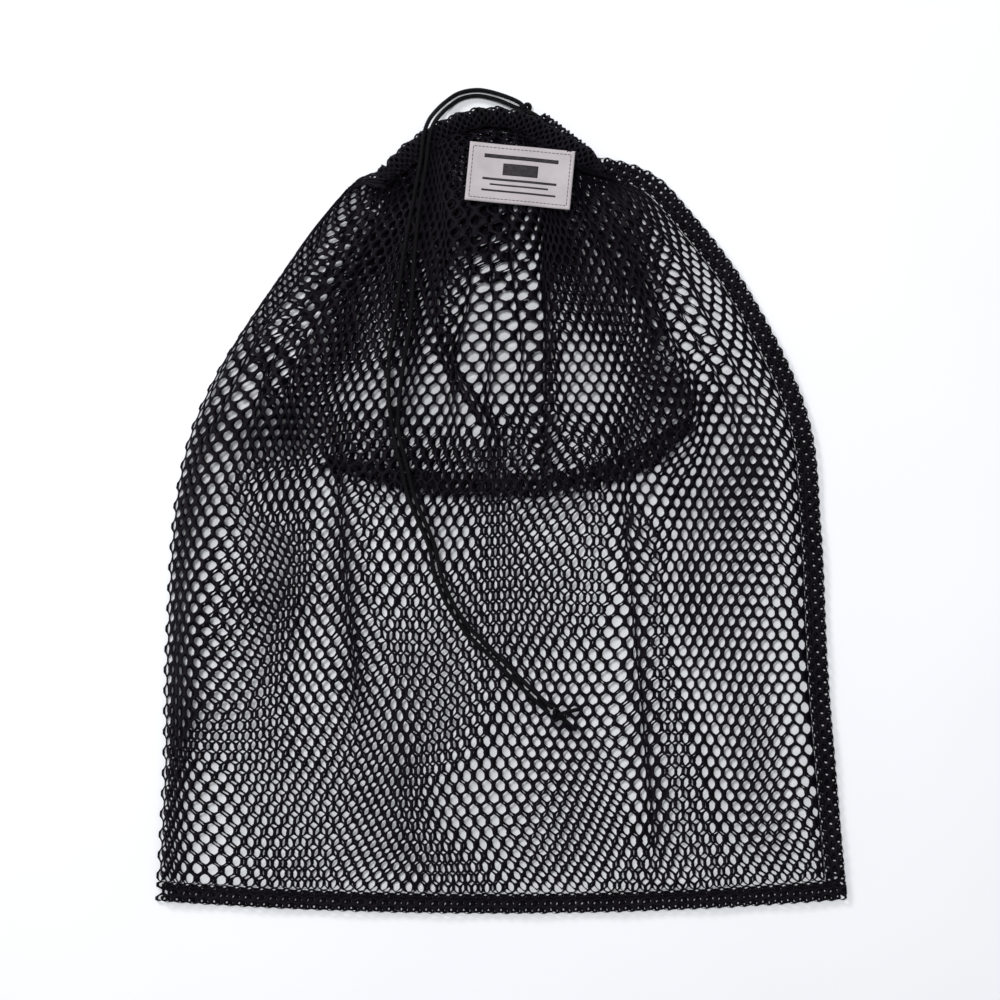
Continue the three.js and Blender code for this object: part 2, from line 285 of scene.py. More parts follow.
def coons(left, right, bottom, top, u, v):
    """Plan places inside four edge lines, blended from all four."""
    l, r, b, t = left(v), right(v), bottom(u), top(u)
    bl, br, tl, tr = left(np.zeros(1)), right(np.zeros(1)), left(np.ones(1)), right(np.ones(1))
    u = u[..., None]
    v = v[..., None]
    return ((1 - v) * b + v * t + (1 - u) * l + u * r
            - (1 - v) * ((1 - u) * bl + u * br) - v * ((1 - u) * tl + u * tr))


def rim_distance(points):
    """Plan distance to the bag's fold and seams."""
    rim = np.vstack([line.at(np.linspace(0, 1, 160)) for line in
                     (LEFT_LINE, BOTTOM_LINE, RIGHT_LINE)])
    out = np.empty(points.shape[:2])
    for i, row in enumerate(points):
        gaps = row[:, None, :] - rim[None, :, :]
        out[i] = np.sqrt((gaps ** 2).sum(axis=-1)).min(axis=1)
    return out


# The strands' middle line in the CAD model: x, y, z and half the distance between the strands.
STRAND_ROUTE = np.array([
    (8.8, 209.8, 7.2, 1.5), (-1.4, 214.6, 3.4, 1.5), (-11.5, 217.0, 1.6, 1.5),
    (-20.5, 215.6, 1.5, 1.5), (-27.0, 211.4, 2.4, 1.5), (-32.0, 205.6, 8.8, 1.5),
    (-35.6, 199.4, 15.2, 1.5), (-37.8, 192.0, 16.9, 1.5), (-39.4, 179.0, 16.9, 1.5),
    (-43.6, 154.0, 16.8, 1.9), (-46.8, 131.0, 15.9, 2.8), (-49.6, 102.0, 14.6, 3.8),
    (-52.3, 84.5, 14.4, 4.0), (-54.3, 64.0, 14.4, 3.1), (-53.8, 43.5, 14.4, 1.6),
    (-49.2, 23.0, 14.4, 1.5), (-44.8, 6.0, 14.4, 1.5), (-35.6, -15.8, 14.4, 1.5),
    (-32.0, -31.4, 14.4, 1.5), (-26.4, -45.6, 14.4, 1.5), (-17.2, -59.4, 14.4, 1.5),
    (-6.9, -69.8, 14.4, 1.5), (3.8, -80.4, 14.4, 1.5), (13.1, -89.7, 14.4, 1.5),
    (21.0, -97.0, 14.6, 1.5), (25.6, -101.0, 15.2, 1.5),
]) * MM


def waves(u, v, count, seed, slow=1.0):
    """Smooth random waves from -1 to 1 over the sheet."""
    draw = np.random.default_rng(seed)
    total = np.zeros(np.broadcast(u, v).shape)
    for _ in range(count):
        fu, fv = draw.uniform(0.6, 3.2, 2) * slow
        turn = draw.uniform(-1, 1)
        phase = draw.uniform(0, 2 * math.pi)
        total = total + np.sin(2 * math.pi * (fu * u + fv * turn * v) + phase)
    return total / math.sqrt(count) / 1.2


PLEATS = 13
PLEAT_DEPTH = 4.2 * MM
BACK_PLEAT_DEPTH = 3.0 * MM
FOLD_SEED = 21


def gather(u, v, seed):
    """Phase and strength of the pleats that run down from the drawn mouth."""
    wander = 0.55 * waves(u, v, 4, seed) + 0.25 * waves(u, v, 4, seed + 1, 2.0)
    phase = 2 * math.pi * (PLEATS * u + wander)
    strength = smooth_step(v, 0.42, 1.02) ** 0.8 * (1 + 0.35 * waves(u, v, 5, seed + 2))
    folded_over = 1 + 0.5 * smooth_step(v, 0.70, 0.97)
    return phase, np.clip(strength, 0, 1.3), folded_over


# Folds that stand out by themselves, in plan: the ends in mm, half width in mm, how strongly the
# cloth is drawn in, and the share by which the holes close along them.
CREASES = (
    ((22.5, 122), (22.5, 20), 2.6, 0.85, 0.4),
    ((-38, 138), (-31, 84), 2.4, 0.75, 0.35),
    ((-32, 86), (-2, 40), 2.4, 0.85, 0.4),
    ((70, 122), (78, 88), 2.8, 0.7, 0.35),
    ((-84, 20), (-74, -92), 4.6, 0.8, 0.16),
    ((62, 14), (78, -160), 4.6, 0.75, 0.14),
)


def crease(points, start, end, half, strength):
    """How far the sheet is drawn in towards a fold line, and how deep it dips there."""
    a = np.array(start) * MM
    b = np.array(end) * MM
    half = half * MM
    way = (b - a) / np.linalg.norm(b - a)
    side = np.array((way[1], -way[0]))
    rel = points - a
    along = rel @ way / np.linalg.norm(b - a)
    off = rel @ side
    fade = smooth_step(along, -0.3, 0.3) * (1 - smooth_step(along, 0.7, 1.3))
    pull = strength * fade * np.exp(-(off / (2.2 * half)) ** 2)
    dip = strength * fade * np.exp(-(off / half) ** 2)
    return -pull[..., None] * off[..., None] * side, dip


def sheet_plan(seed, creased):
    """Plan places of a panel's sheet over (v, u), with its pleats' phase and strength."""
    u, v = np.meshgrid(np.linspace(0, 1, GRID_U), np.linspace(0, 1, GRID_V))
    top = lambda t: NECK_LINE.beside(1 - t, np.full(np.shape(t), PANEL_TO_NECK))
    xy = coons(LEFT_LINE.at, RIGHT_LINE.at, BOTTOM_LINE.at, top, u, v)
    rim = rim_distance(xy)
    phase, strength, folded_over = gather(u, v, seed)
    width = np.linalg.norm(xy[:, -1] - xy[:, 0], axis=1)[:, None] / PLEATS
    inside = smooth_step(rim, 0, 14 * MM)
    xy[..., 0] += 0.9 * strength * folded_over * inside * width / (2 * math.pi) * np.sin(phase)
    loose = smooth_step(rim, 0, 30 * MM) * (1 - smooth_step(v, 0.7, 0.95))
    drift = 1.0 if creased else 0.8
    xy[..., 0] += 2.2 * MM * drift * loose * waves(u, v, 6, seed + 7, 1.2)
    xy[..., 1] += 2.0 * MM * drift * loose * waves(u, v, 6, seed + 8, 1.2)
    xy[..., 0] -= 6.0 * MM * np.exp(-((u - 0.06) / 0.045) ** 2) * smooth_step(u, 0, 0.015)
    dips = np.zeros_like(rim)
    if creased:
        for start, end, half, force, _ in CREASES:
            shift, dip = crease(xy, start, end, half, force)
            xy += shift
            dips += dip
    return u, v, xy, rim, phase, strength, dips


def cord_distance(xy):
    """Plan distance to the strands' middle line."""
    route = Line(catmull(STRAND_ROUTE[:, :2])).at(np.linspace(0, 1, 220))
    out = np.empty(xy.shape[:2])
    for i, row in enumerate(xy):
        gaps = row[:, None, :] - route[None, :, :]
        out[i] = np.sqrt((gaps ** 2).sum(axis=-1)).min(axis=1)
    return out


def front_surface():
    u, v, xy, rim, phase, strength, dips = sheet_plan(FOLD_SEED, True)
    up = np.sin(np.clip(rim / ROLL_IN, 0, 1) * math.pi / 2)
    up = np.maximum(up, smooth_step(v, 0.94, 1.0))
    ceiling = PLATEAU + (NECK_TOP - PLATEAU) * smooth_step(xy[..., 1], 0.11, 0.17)
    free = smooth_step(cord_distance(xy), 4 * MM, 26 * MM)
    sag = (1.6 + 1.5 * waves(u, v, 7, 5)) * MM * free
    fold = PLEAT_DEPTH * strength * (0.5 - 0.5 * np.cos(phase)) * (0.25 + 0.75 * free)
    z = ceiling - sag * (1 - 0.6 * smooth_step(v, 0.7, 1.0)) - fold - 2.4 * MM * dips * free
    z = EDGE_HEIGHT + (z - EDGE_HEIGHT) * up
    return np.dstack([xy, z])


def back_surface():
    u, v, xy, rim, phase, strength, _ = sheet_plan(FOLD_SEED, False)
    up = smooth_step(rim, 0, 16 * MM)
    fold = BACK_PLEAT_DEPTH * strength * (0.5 + 0.5 * np.cos(phase))
    ripple = 0.5 * MM * (1 + waves(u, v, 6, 9))
    z = 0.9 * MM - 0.4 * MM * up + up * (fold + ripple)
    return np.dstack([xy, z])


FRONT = front_surface()
BACK = back_surface()


def surface_normals(surface):
    du = np.gradient(surface, axis=1)
    dv = np.gradient(surface, axis=0)
    n = np.cross(du, dv)
    return n / np.maximum(np.linalg.norm(n, axis=-1, keepdims=True), 1e-12)


def sample(grid, u, v):
    """Reads a grid of vectors at u, v from 0 to 1, between its points."""
    rows, columns = grid.shape[:2]
    x = np.clip(u, 0, 1) * (columns - 1)
    y = np.clip(v, 0, 1) * (rows - 1)
    i = np.minimum(x.astype(int), columns - 2)
    j = np.minimum(y.astype(int), rows - 2)
    fx = (x - i)[..., None]
    fy = (y - j)[..., None]
    low = grid[j, i] * (1 - fx) + grid[j, i + 1] * fx
    high = grid[j + 1, i] * (1 - fx) + grid[j + 1, i + 1] * fx
    return low * (1 - fy) + high * fy


# ---- the net --------------------------------------------------------------------------------

PILLAR_HALF = 0.86 * MM
DIAGONAL_HALF = 0.70 * MM
PILLAR_LENGTH = 2.4 * MM
STRAND_HALF_THICK = 0.42 * MM
STRAND_WANDER = 0.09 * MM

# The twelve points round a cell, as steps of a quarter cell across and of a quarter row up.
CELL_RING = np.array([
    (0, 3), (1, 2), (2, 1), (2, 0), (2, -1), (1, -2),
    (0, -3), (-1, -2), (-2, -1), (-2, 0), (-2, 1), (-1, 2),
])


def ring_place(keys):
    """Cloth place of whole-number ring keys."""
    row = np.round(keys[:, 1] / 4)
    part = keys[:, 1] - 4 * row
    y = row * ROW_PITCH + np.where(np.abs(part) == 1, part * PILLAR_LENGTH / 2, 0)
    y += np.where(np.abs(part) == 2, part / 2 * ROW_PITCH / 2, 0)
    return np.stack([keys[:, 0] * CELL_WIDTH / 4, y], axis=1)


def hole_ring(fill, stretch_x, stretch_y, closed):
    """The twelve points round each hole, from the middle of its cell. fill thickens the strands,
    which keep their own width where the cloth is drawn together."""
    half = CELL_WIDTH / 2
    tip = ROW_PITCH - PILLAR_LENGTH / 2
    pillar = (PILLAR_HALF + fill) / stretch_x
    diagonal = (DIAGONAL_HALF + fill) / np.sqrt(stretch_x * stretch_y)
    x_side = np.maximum(half - pillar, 0.22 * MM)
    drop = diagonal * math.hypot(half, tip - PILLAR_LENGTH / 2) / half
    y_tip = np.maximum(tip - drop, 0.4 * MM)
    x_side = x_side * (1 - 0.8 * closed)
    y_tip = y_tip * (1 - 0.3 * closed)
    y_corner = y_tip * 0.30
    x_mid = x_side * 0.66
    y_mid = y_tip * 0.68
    none = np.zeros_like(y_tip)
    right = [(none, y_tip), (x_mid, y_mid), (x_side, y_corner), (x_side, none),
             (x_side, -y_corner), (x_mid, -y_mid)]
    ring = right + [(-x, -y) for x, y in right]
    return np.stack([np.stack(point, axis=-1) for point in ring], axis=1)


def net_cells(columns, rows, keep):
    """Cells of a net as (column step, row), those whose middle keep(x, y) accepts."""
    c, r = np.meshgrid(np.arange(columns), np.arange(rows))
    c = c.ravel()
    r = r.ravel()
    x_key = 4 * c + 2 + 2 * (r % 2)
    x = x_key * CELL_WIDTH / 4
    y = (r + 0.5) * ROW_PITCH
    chosen = keep(x, y)
    return x_key[chosen], r[chosen]


def build_net(name, cells, place, material, fill=0.0, thick=STRAND_HALF_THICK, closing=None):
    """A closed net of rounded strands. place(x, y) gives points and normals for cloth places."""
    x_key, row = cells
    count = len(x_key)
    ring = len(CELL_RING)
    keys = np.stack([
        x_key[:, None] + CELL_RING[None, :, 0], 4 * row[:, None] + CELL_RING[None, :, 1],
    ], axis=-1).reshape(-1, 2)
    code = (keys[:, 1].astype(np.int64) + 1000) * 100000 + keys[:, 0] + 1000
    _, first, where = np.unique(code, return_index=True, return_inverse=True)
    where = where.reshape(count, ring)
    ridge = ring_place(keys[first])
    draw = np.random.default_rng(len(first))
    ridge = ridge + draw.normal(0, STRAND_WANDER, ridge.shape)
    middle = np.stack([x_key * CELL_WIDTH / 4, row * ROW_PITCH], axis=1)
    reach = 0.4 * CELL_WIDTH
    x, y = middle[:, 0], middle[:, 1] + ROW_PITCH / 2
    stretch = [
        np.linalg.norm(place(x + dx, y + dy)[0] - place(x - dx, y - dy)[0], axis=1) / (2 * reach)
        for dx, dy in ((reach, 0), (0, reach))
    ]
    stretch_x, stretch_y = (np.clip(value, 0.3, 1.3) for value in stretch)
    closed = 0.0 * stretch_x if closing is None else closing(place(x, y)[0])
    hole = middle[:, None, :] + hole_ring(fill, stretch_x, stretch_y, closed)
    hole = hole + draw.normal(0, STRAND_WANDER, hole.shape)
    hole = hole.reshape(-1, 2)
    half_row = np.array((0, ROW_PITCH / 2))
    p_ridge, n_ridge = place(*(ridge + half_row).T)
    p_hole, _ = place(*(hole + half_row).T)
    n = len(ridge)
    vertices = np.vstack([p_ridge + n_ridge * thick, p_ridge - n_ridge * thick, p_hole])
    nxt = np.roll(where, -1, axis=1)
    rim = (2 * n + np.arange(count * ring)).reshape(count, ring)
    rim_nxt = np.roll(rim, -1, axis=1)
    top = np.stack([where, rim, rim_nxt, nxt], axis=-1).reshape(-1, 4)
    bottom = np.stack([nxt + n, rim_nxt, rim, where + n], axis=-1).reshape(-1, 4)
    pair = np.stack([where.ravel(), nxt.ravel()], axis=1)
    ordered = np.sort(pair, axis=1)
    edge_code = ordered[:, 0].astype(np.int64) * (n + 1) + ordered[:, 1]
    _, index, uses = np.unique(edge_code, return_index=True, return_counts=True)
    outer = pair[index[uses == 1]]
    border = np.stack([outer[:, 0], outer[:, 1], outer[:, 1] + n, outer[:, 0] + n], axis=-1)
    faces = np.vstack([top, bottom, border])
    return make_piece(name, vertices, faces, material)


def panel_place(surface, offset=0.0, shift=None):
    """Cloth place to point and normal on a panel's surface."""
    normals = surface_normals(surface)

    def place(x, y):
        u = x / (PANEL_COLUMNS * CELL_WIDTH)
        v = y / (PANEL_ROWS * ROW_PITCH)
        if shift is not None:
            move = shift(u, v)
            u = u + move[0] / PANEL_COLUMNS
            v = v + move[1] / PANEL_ROWS
        p = sample(surface, u, v)
        p[..., 2] += offset
        return p, sample(normals, u, v)

    return place


def everywhere(x, y):
    return np.ones(np.shape(x), dtype=bool)


# Where the back's holes lie under the front's, so that the floor shows through both: the middle
# of each clear patch and its half sizes, in mm.
CLEAR_PATCHES = (
    (-116, 12, 26, 20), (-65, -30, 20, 34), (-99, -86, 20, 56), (-158, -155, 34, 40),
    (-28, -12, 14, 16), (35, -101, 34, 44), (72, 12, 16, 18), (140, -115, 30, 70),
    (-20, -150, 36, 30), (100, -40, 16, 40), (-20, 62, 30, 22), (40, 70, 24, 30),
    (-75, 62, 26, 14), (96, 112, 18, 30), (-7, 100, 18, 34), (-118, 78, 12, 20),
)


def clearness(u, v):
    """1 in the middle of a clear patch, falling to 0 away from them all."""
    p = sample(FRONT, u, v) / MM
    total = np.zeros(np.shape(u))
    for x, y, rx, ry in CLEAR_PATCHES:
        total = total + np.exp(-((p[..., 0] - x) / rx) ** 2 - ((p[..., 1] - y) / ry) ** 2)
    return np.clip(total, 0, 1)


def back_shift(u, v):
    """In cells across and rows up: half a cell aside hides the holes."""
    dark = 1 - clearness(u, v) * smooth_step(u, 0.0, 0.07)
    across = dark * (0.5 + 0.3 * waves(u, v, 5, 81, 1.1))
    return across, 0.45 * dark * waves(u, v, 5, 82, 1.1)


# Where the mesh is pulled tight lengthwise its holes close up: the middle of each such zone, its
# half sizes in mm and the share by which the holes close.
TIGHT_ZONES = (
    (-66, 138, 24, 26, 0.22), (-92, 108, 13, 18, 0.28), (-116, 80, 12, 12, 0.25),
    (8, 146, 42, 12, 0.28), (-20, 158, 26, 12, 0.2), (70, 140, 13, 28, 0.3), (64, 168, 20, 12, 0.4),
    (22, 182, 30, 8, 0.25), (-48, 168, 14, 10, 0.2), (100, 60, 22, 12, 0.25),
    (-166, -60, 9, 60, 0.3), (-160, 10, 12, 26, 0.35), (-140, 40, 24, 14, 0.3),
    (-60, 24, 24, 7, 0.25), (128, 30, 20, 22, 0.22), (100, 6, 22, 16, 0.22),
    (-125, -45, 18, 12, 0.12), (-158, -60, 26, 60, 0.12), (-130, 60, 30, 30, 0.15),
)


def tightness(points):
    """The share by which the holes at these places close."""
    x, y = points[:, 0] / MM, points[:, 1] / MM
    total = np.zeros(len(points))
    for cx, cy, rx, ry, amount in TIGHT_ZONES:
        total += amount * np.exp(-((x - cx) / rx) ** 2 - ((y - cy) / ry) ** 2)
    for start, end, half, _, tight in CREASES:
        a, b = np.array(start), np.array(end)
        way = (b - a) / np.linalg.norm(b - a)
        along = (x - a[0]) * way[0] + (y - a[1]) * way[1]
        off = (x - a[0]) * way[1] - (y - a[1]) * way[0]
        share = along / np.linalg.norm(b - a)
        fade = smooth_step(share, -0.15, 0.1) * (1 - smooth_step(share, 0.85, 1.15))
        total += tight * fade * np.exp(-(off / (1.1 * half)) ** 2)
    return np.clip(total, 0, 1)


PANEL_CELLS = net_cells(PANEL_COLUMNS, PANEL_ROWS, everywhere)
front_net = build_net("front_net", PANEL_CELLS, panel_place(FRONT), NET, closing=tightness)
back_net = build_net("back_net", PANEL_CELLS, panel_place(BACK, 0.0, back_shift), NET,
                     closing=tightness)
for piece, node in ((front_net, "front_panel"), (back_net, "back_panel")):
    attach(piece, "bag")
    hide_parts(node)


# ---- collar: the sheet's end, turned down inside the bag ------------------------------------

def collar_side(u):
    """The collar's top edge, along the neck from left to right."""
    return NECK_LINE.beside(0.8 - 0.6 * u, np.full(np.shape(u), PANEL_TO_NECK))


COLLAR_TOP_LEFT = tuple(collar_side(np.array(0.0)) / MM)
COLLAR_TOP_RIGHT = tuple(collar_side(np.array(1.0)) / MM)
COLLAR_LEFT = plan((-141, 43), (-118, 70), (-98, 88), (-86, 112), (-66, 146), COLLAR_TOP_LEFT)
COLLAR_RIGHT = plan((103, 54), (92, 80), (80, 112), (62, 145), COLLAR_TOP_RIGHT)
HEM_LINE = plan(
    (-141, 43), (-122, 37), (-84, 29), (-40, 22), (0, 20.5), (30, 21.5), (62, 30), (84, 42),
    (103, 54),
)


def inside_outline(outline, points):
    """Which points lie inside a closed outline in plan."""
    x, y = points[:, 0], points[:, 1]
    within = np.zeros(len(points), dtype=bool)
    for (x0, y0), (x1, y1) in zip(outline, np.roll(outline, -1, axis=0)):
        if y0 == y1:
            continue
        crosses = (y0 > y) != (y1 > y)
        within ^= crosses & (x < x0 + (y - y0) * (x1 - x0) / (y1 - y0))
    return within


steps = np.linspace(0, 1, 60)
COLLAR_OUTLINE = np.vstack([
    HEM_LINE.at(steps), COLLAR_RIGHT.at(steps), collar_side(steps)[::-1],
    COLLAR_LEFT.at(steps)[::-1],
])


def in_collar(place):
    return lambda x, y: inside_outline(COLLAR_OUTLINE, place(x, y)[0][:, :2])


CLEAR_HOLD = 0.85  # how closely the collar's holes keep to the panels' in the clear patches


def collar_front_shift(u, v):
    dark = 1 - CLEAR_HOLD * clearness(u, v)
    return 0.38 * dark * waves(u, v, 5, 71, 1.1), 0.34 * dark * waves(u, v, 4, 72, 1.1)


def collar_back_shift(u, v):
    across, up = back_shift(u, v)
    dark = 1 - CLEAR_HOLD * clearness(u, v)
    return (across + 0.32 * dark * waves(u, v, 5, 73, 1.1),
            up + 0.32 * dark * waves(u, v, 5, 74, 1.1))


# The collar lies against the panels and shares their gathers. Its strands are finer than theirs,
# so that some light still passes through the four layers.
COLLAR_GAP = 1.5 * MM
COLLAR_FILL = -0.28 * MM
place_front = panel_place(FRONT, -COLLAR_GAP, collar_front_shift)
place_back = panel_place(BACK, COLLAR_GAP, collar_back_shift)
for name, node, place in (("collar_front_net", "collar_front", place_front),
                          ("collar_back_net", "collar_back", place_back)):
    net = build_net(name, net_cells(PANEL_COLUMNS, PANEL_ROWS, in_collar(place)), place, NET,
                    fill=COLLAR_FILL, closing=tightness)
    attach(net, "bag")
    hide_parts(node)


def grid_place(surface, columns, rows, shift=(0.0, 0.0)):
    """Cloth place to point and normal on a band's surface."""
    normals = surface_normals(surface)

    def place(x, y):
        u = (x / CELL_WIDTH + shift[0]) / columns
        v = (y / ROW_PITCH + shift[1]) / rows
        return sample(surface, u, v), sample(normals, u, v)

    return place


# ---- bands: seams and hems, several nets on each other --------------------------------------

BAND_COLUMNS = 241


def band_surface(line, share, inner, outer, z_of, scallop=0.0):
    """A narrow band beside a line, from inner to outer distance, its outer edge scalloped."""
    rows, columns = 9, BAND_COLUMNS
    t = np.linspace(share[0], share[1], columns)
    v = np.linspace(0, 1, rows)
    length = line.length * (share[1] - share[0])
    bump = 0.5 + 0.5 * np.cos(2 * math.pi * np.linspace(0, 1, columns) * length / CELL_WIDTH)
    surface = np.empty((rows, columns, 3))
    for j, step in enumerate(v):
        distance = inner + (outer - inner) * step + scallop * bump * step
        surface[j, :, :2] = line.beside(t, distance)
        surface[j, :, 2] = z_of(t, step)
    return surface


def band_net(name, surface, length, fill, shift):
    """Three rows of cells along a band."""
    rows = 3
    columns = int(round(length / CELL_WIDTH))
    cells = net_cells(columns, rows, everywhere)
    return build_net(name, cells, grid_place(surface, columns + 0.5, rows, shift), SEAM,
                     fill=fill, thick=0.45 * MM)


STITCH_RADIUS = 0.32 * MM


def stitch_row(name, line, share, distance, z, pitch, length_share):
    """A row of separate stitches, each a short capsule that dips into the cloth at its ends."""
    total = line.length * abs(share[1] - share[0])
    count = int(total / pitch)
    ring = 6
    along = np.array((-0.5, -0.46, -0.3, 0.0, 0.3, 0.46, 0.5))
    swell = np.array((0.05, 0.7, 1.0, 1.1, 1.0, 0.7, 0.05))
    angle = np.linspace(0, 2 * math.pi, ring, endpoint=False)
    vertices = []
    faces = []
    for k in range(count):
        t = share[0] + (share[1] - share[0]) * (k + 0.5) / count
        wobble = rng.normal(0, 0.12) * MM
        centre = line.beside(np.array([t]), np.array([distance + wobble]))[0]
        way = line.way(np.array([t]))[0][:2]
        side = np.array((way[1], -way[0]))
        base = len(vertices)
        for a, s in zip(along, swell):
            lift = -0.35 * STITCH_RADIUS * (2 * abs(a)) ** 3
            for turn in angle:
                aside = side * math.cos(turn) * STITCH_RADIUS * s
                p = centre + way * a * pitch * length_share + aside
                vertices.append((p[0], p[1], z + lift + math.sin(turn) * STITCH_RADIUS * s))
        for i in range(len(along) - 1):
            for j in range(ring):
                a = base + i * ring + j
                b = base + i * ring + (j + 1) % ring
                faces.append((a, b, b + ring, a + ring))
        faces.append(tuple(base + j for j in reversed(range(ring))))
        faces.append(tuple(base + (len(along) - 1) * ring + j for j in range(ring)))
    return make_piece(name, vertices, faces, THREAD)


SEAM_INNER = 0.4 * MM
SEAM_OUTER = 10.2 * MM
SEAM_HEIGHTS = (0.8 * MM, 2.0 * MM)
SEAM_SCALLOP = 1.0 * MM
SEAM_FILL = 0.5 * MM


def seam_layers(name, line, share, node):
    """Layers of net laid over each other, their cells a little out of step."""
    length = line.length * (share[1] - share[0])
    layers = []
    for k, height in enumerate(SEAM_HEIGHTS):
        waver = 0.25 * MM * np.sin(np.linspace(0, 40 + 9 * k, BAND_COLUMNS))
        surface = band_surface(
            line, share, SEAM_INNER, SEAM_OUTER - 0.35 * MM * k,
            lambda t, step, h=height, w=waver: h + w * step, scallop=SEAM_SCALLOP,
        )
        layers.append(band_net(f"{name}_{k + 1}", surface, length, SEAM_FILL,
                               shift=(0.47 * k, 0.1 * k)))
    for piece in layers:
        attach(piece, "bag")
    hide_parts(node)


SIDE_EDGE = Line(np.vstack([np.array((168.0, -194.5)) * MM, RIGHT_LINE.points]))
BOTTOM_EDGE = Line(np.vstack([BOTTOM_LINE.points, np.array((178.4, -189.2)) * MM]))
seam_layers("side_seam_net", SIDE_EDGE, (0.0, 0.985), "side_seam")
seam_layers("bottom_seam_net", BOTTOM_EDGE, (0.0, 1.0), "bottom_seam")


side_stitches = stitch_row("side_seam_stitches", RIGHT_LINE, (0.01, 0.945), 2.0 * MM,
                           2.9 * MM, 3.2 * MM, 0.86)
bottom_stitches = stitch_row("bottom_seam_stitches", BOTTOM_EDGE, (0.01, 0.99), 2.0 * MM,
                             2.9 * MM, 3.2 * MM, 0.86)
for piece, node in ((side_stitches, "side_seam_stitching"),
                    (bottom_stitches, "bottom_seam_stitching")):
    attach(piece, "bag")
    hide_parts(node)


def hem_height(surface, lower):
    """Height of a hem that lies with the collar's lower edge, against its panel."""
    flat = surface[::3, ::3].reshape(-1, 3)
    t = np.linspace(0, 1, 60)
    middle = HEM_LINE.beside(t, np.full(t.shape, 6 * MM))
    near = [((flat[:, :2] - p) ** 2).sum(axis=1).argmin() for p in middle]
    heights = np.convolve(flat[near, 2], np.ones(5) / 5, mode="same")
    heights[:2] = heights[2]
    heights[-2:] = heights[-3]
    return lambda x: np.interp(x, t, heights) + lower


HEM_SHARE = np.linspace(0, 1, BAND_COLUMNS)
HEM_SPAN = (0.2, 0.97)  # the part of the hem line that the hem is seen to cover
HEM_FILL = 0.04 * MM
HEM_REACH = (7.0 + 5.6 * smooth_step(HEM_SHARE, 0, 0.3) * smooth_step(1 - HEM_SHARE, 0, 0.15)) * MM


def hem_net(name, surface, node, lower):
    height = hem_height(surface, lower)
    layers = []
    for k in range(2):
        band = band_surface(
            HEM_LINE, HEM_SPAN, -0.4 * MM, HEM_REACH,
            lambda t, step, k=k: height(t) - 0.9 * MM * k,
        )
        layers.append(band_net(f"{name}_{k + 1}", band, HEM_LINE.length, HEM_FILL,
                               shift=(0.31 * k, 0.12 * k)))
    for piece in layers:
        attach(piece, "bag")
    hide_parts(node)


hem_net("collar_hem_front_net", FRONT, "collar_hem_front", -1.8 * MM)
hem_net("collar_hem_back_net", BACK, "collar_hem_back", 2.4 * MM)


# ---- channel: gathered cloth tubes round the mouth ------------------------------------------

TUBE_CELLS = 7  # round the channel
TUBE_PLEATS = 13
TUBE_PLEAT = 0.12


def tube_place(path, across, up, rows):
    """A gathered tube round a path. x runs round the tube and y along it."""
    way, side, top = tube_frames(path)
    steps = np.linalg.norm(np.diff(path, axis=0), axis=1)
    share = np.concatenate([[0], np.cumsum(steps)]) / steps.sum()

    def read(values, t):
        return np.stack([np.interp(t, share, values[:, k]) for k in range(3)], axis=-1)

    def place(x, y):
        turn = 2 * math.pi * x / (TUBE_CELLS * CELL_WIDTH)
        t = y / (rows * ROW_PITCH)
        fold = 1 + TUBE_PLEAT * np.sin(2 * math.pi * TUBE_PLEATS * t + 1.3 * np.sin(turn))
        fold = fold * (0.35 + 0.65 * smooth_step(np.minimum(t, 1 - t), 0, 0.08))
        c = np.cos(turn)[:, None] * (across * fold)[:, None]
        s = np.sin(turn)[:, None] * (up * fold)[:, None]
        centre = read(path, t)
        p = centre + read(side, t) * c + read(top, t) * s
        n = read(side, t) * np.cos(turn)[:, None] + read(top, t) * np.sin(turn)[:, None]
        return p, n / np.linalg.norm(n, axis=1, keepdims=True)

    return place


def run_path(start, end, z, samples=60):
    """A run of the channel along the neck line, started at the side seam where start is 0."""
    t = np.linspace(start, end, samples)
    xy = NECK_LINE.at(t)
    if start == 0.0:
        xy = np.vstack([np.array((53.0, 175.5)) * MM, xy[1:]])
    return np.column_stack([xy, np.full(samples, z)])


NECK_RUN_END = 0.93
FRONT_RUN_Z = 12.5 * MM
BACK_RUN_Z = 2.5 * MM


def channel_piece(name, path, across, up, node):
    length = np.linalg.norm(np.diff(path, axis=0), axis=1).sum()
    rows = max(4, int(length / (1.9 * MM)))
    place = tube_place(path, across, up, rows)
    net = build_net(name, net_cells(TUBE_CELLS, rows, everywhere), place, SEAM, fill=0.1 * MM,
                    thick=0.5 * MM)
    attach(net, "bag")
    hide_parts(node)


channel_piece("channel_front_net", run_path(0.0, 0.97, FRONT_RUN_Z), 4.8 * MM, 2.8 * MM,
              "channel_front")
channel_piece("channel_back_net", run_path(0.0, 0.97, BACK_RUN_Z + 0.5 * MM), 4.8 * MM,
              2.5 * MM, "channel_back")


def turn_path():
    """Round the left end of the mouth, from the front run down to the back run."""
    end = NECK_LINE.at(np.array([NECK_RUN_END]))[0]
    way = NECK_LINE.way(np.array([NECK_RUN_END]))[0]
    middle = (FRONT_RUN_Z + BACK_RUN_Z) / 2
    reach = (FRONT_RUN_Z - BACK_RUN_Z) / 2
    angle = np.linspace(math.pi / 2, -math.pi / 2, 30)
    xy = end + way * (np.cos(angle)[:, None] * reach)
    return np.column_stack([xy, middle + np.sin(angle) * reach])


channel_piece("channel_turn_net", turn_path(), 4.4 * MM, 2.4 * MM, "channel_turn")

SLEEVE_IN = np.array((45.5, 181.6)) * MM
SLEEVE_MOUTH = np.array((18.5, 202.4)) * MM
PULL = (SLEEVE_MOUTH - SLEEVE_IN) / np.linalg.norm(SLEEVE_MOUTH - SLEEVE_IN)
PULL_SIDE = np.array((-PULL[1], PULL[0]))
SLEEVE_Z = 7.5 * MM


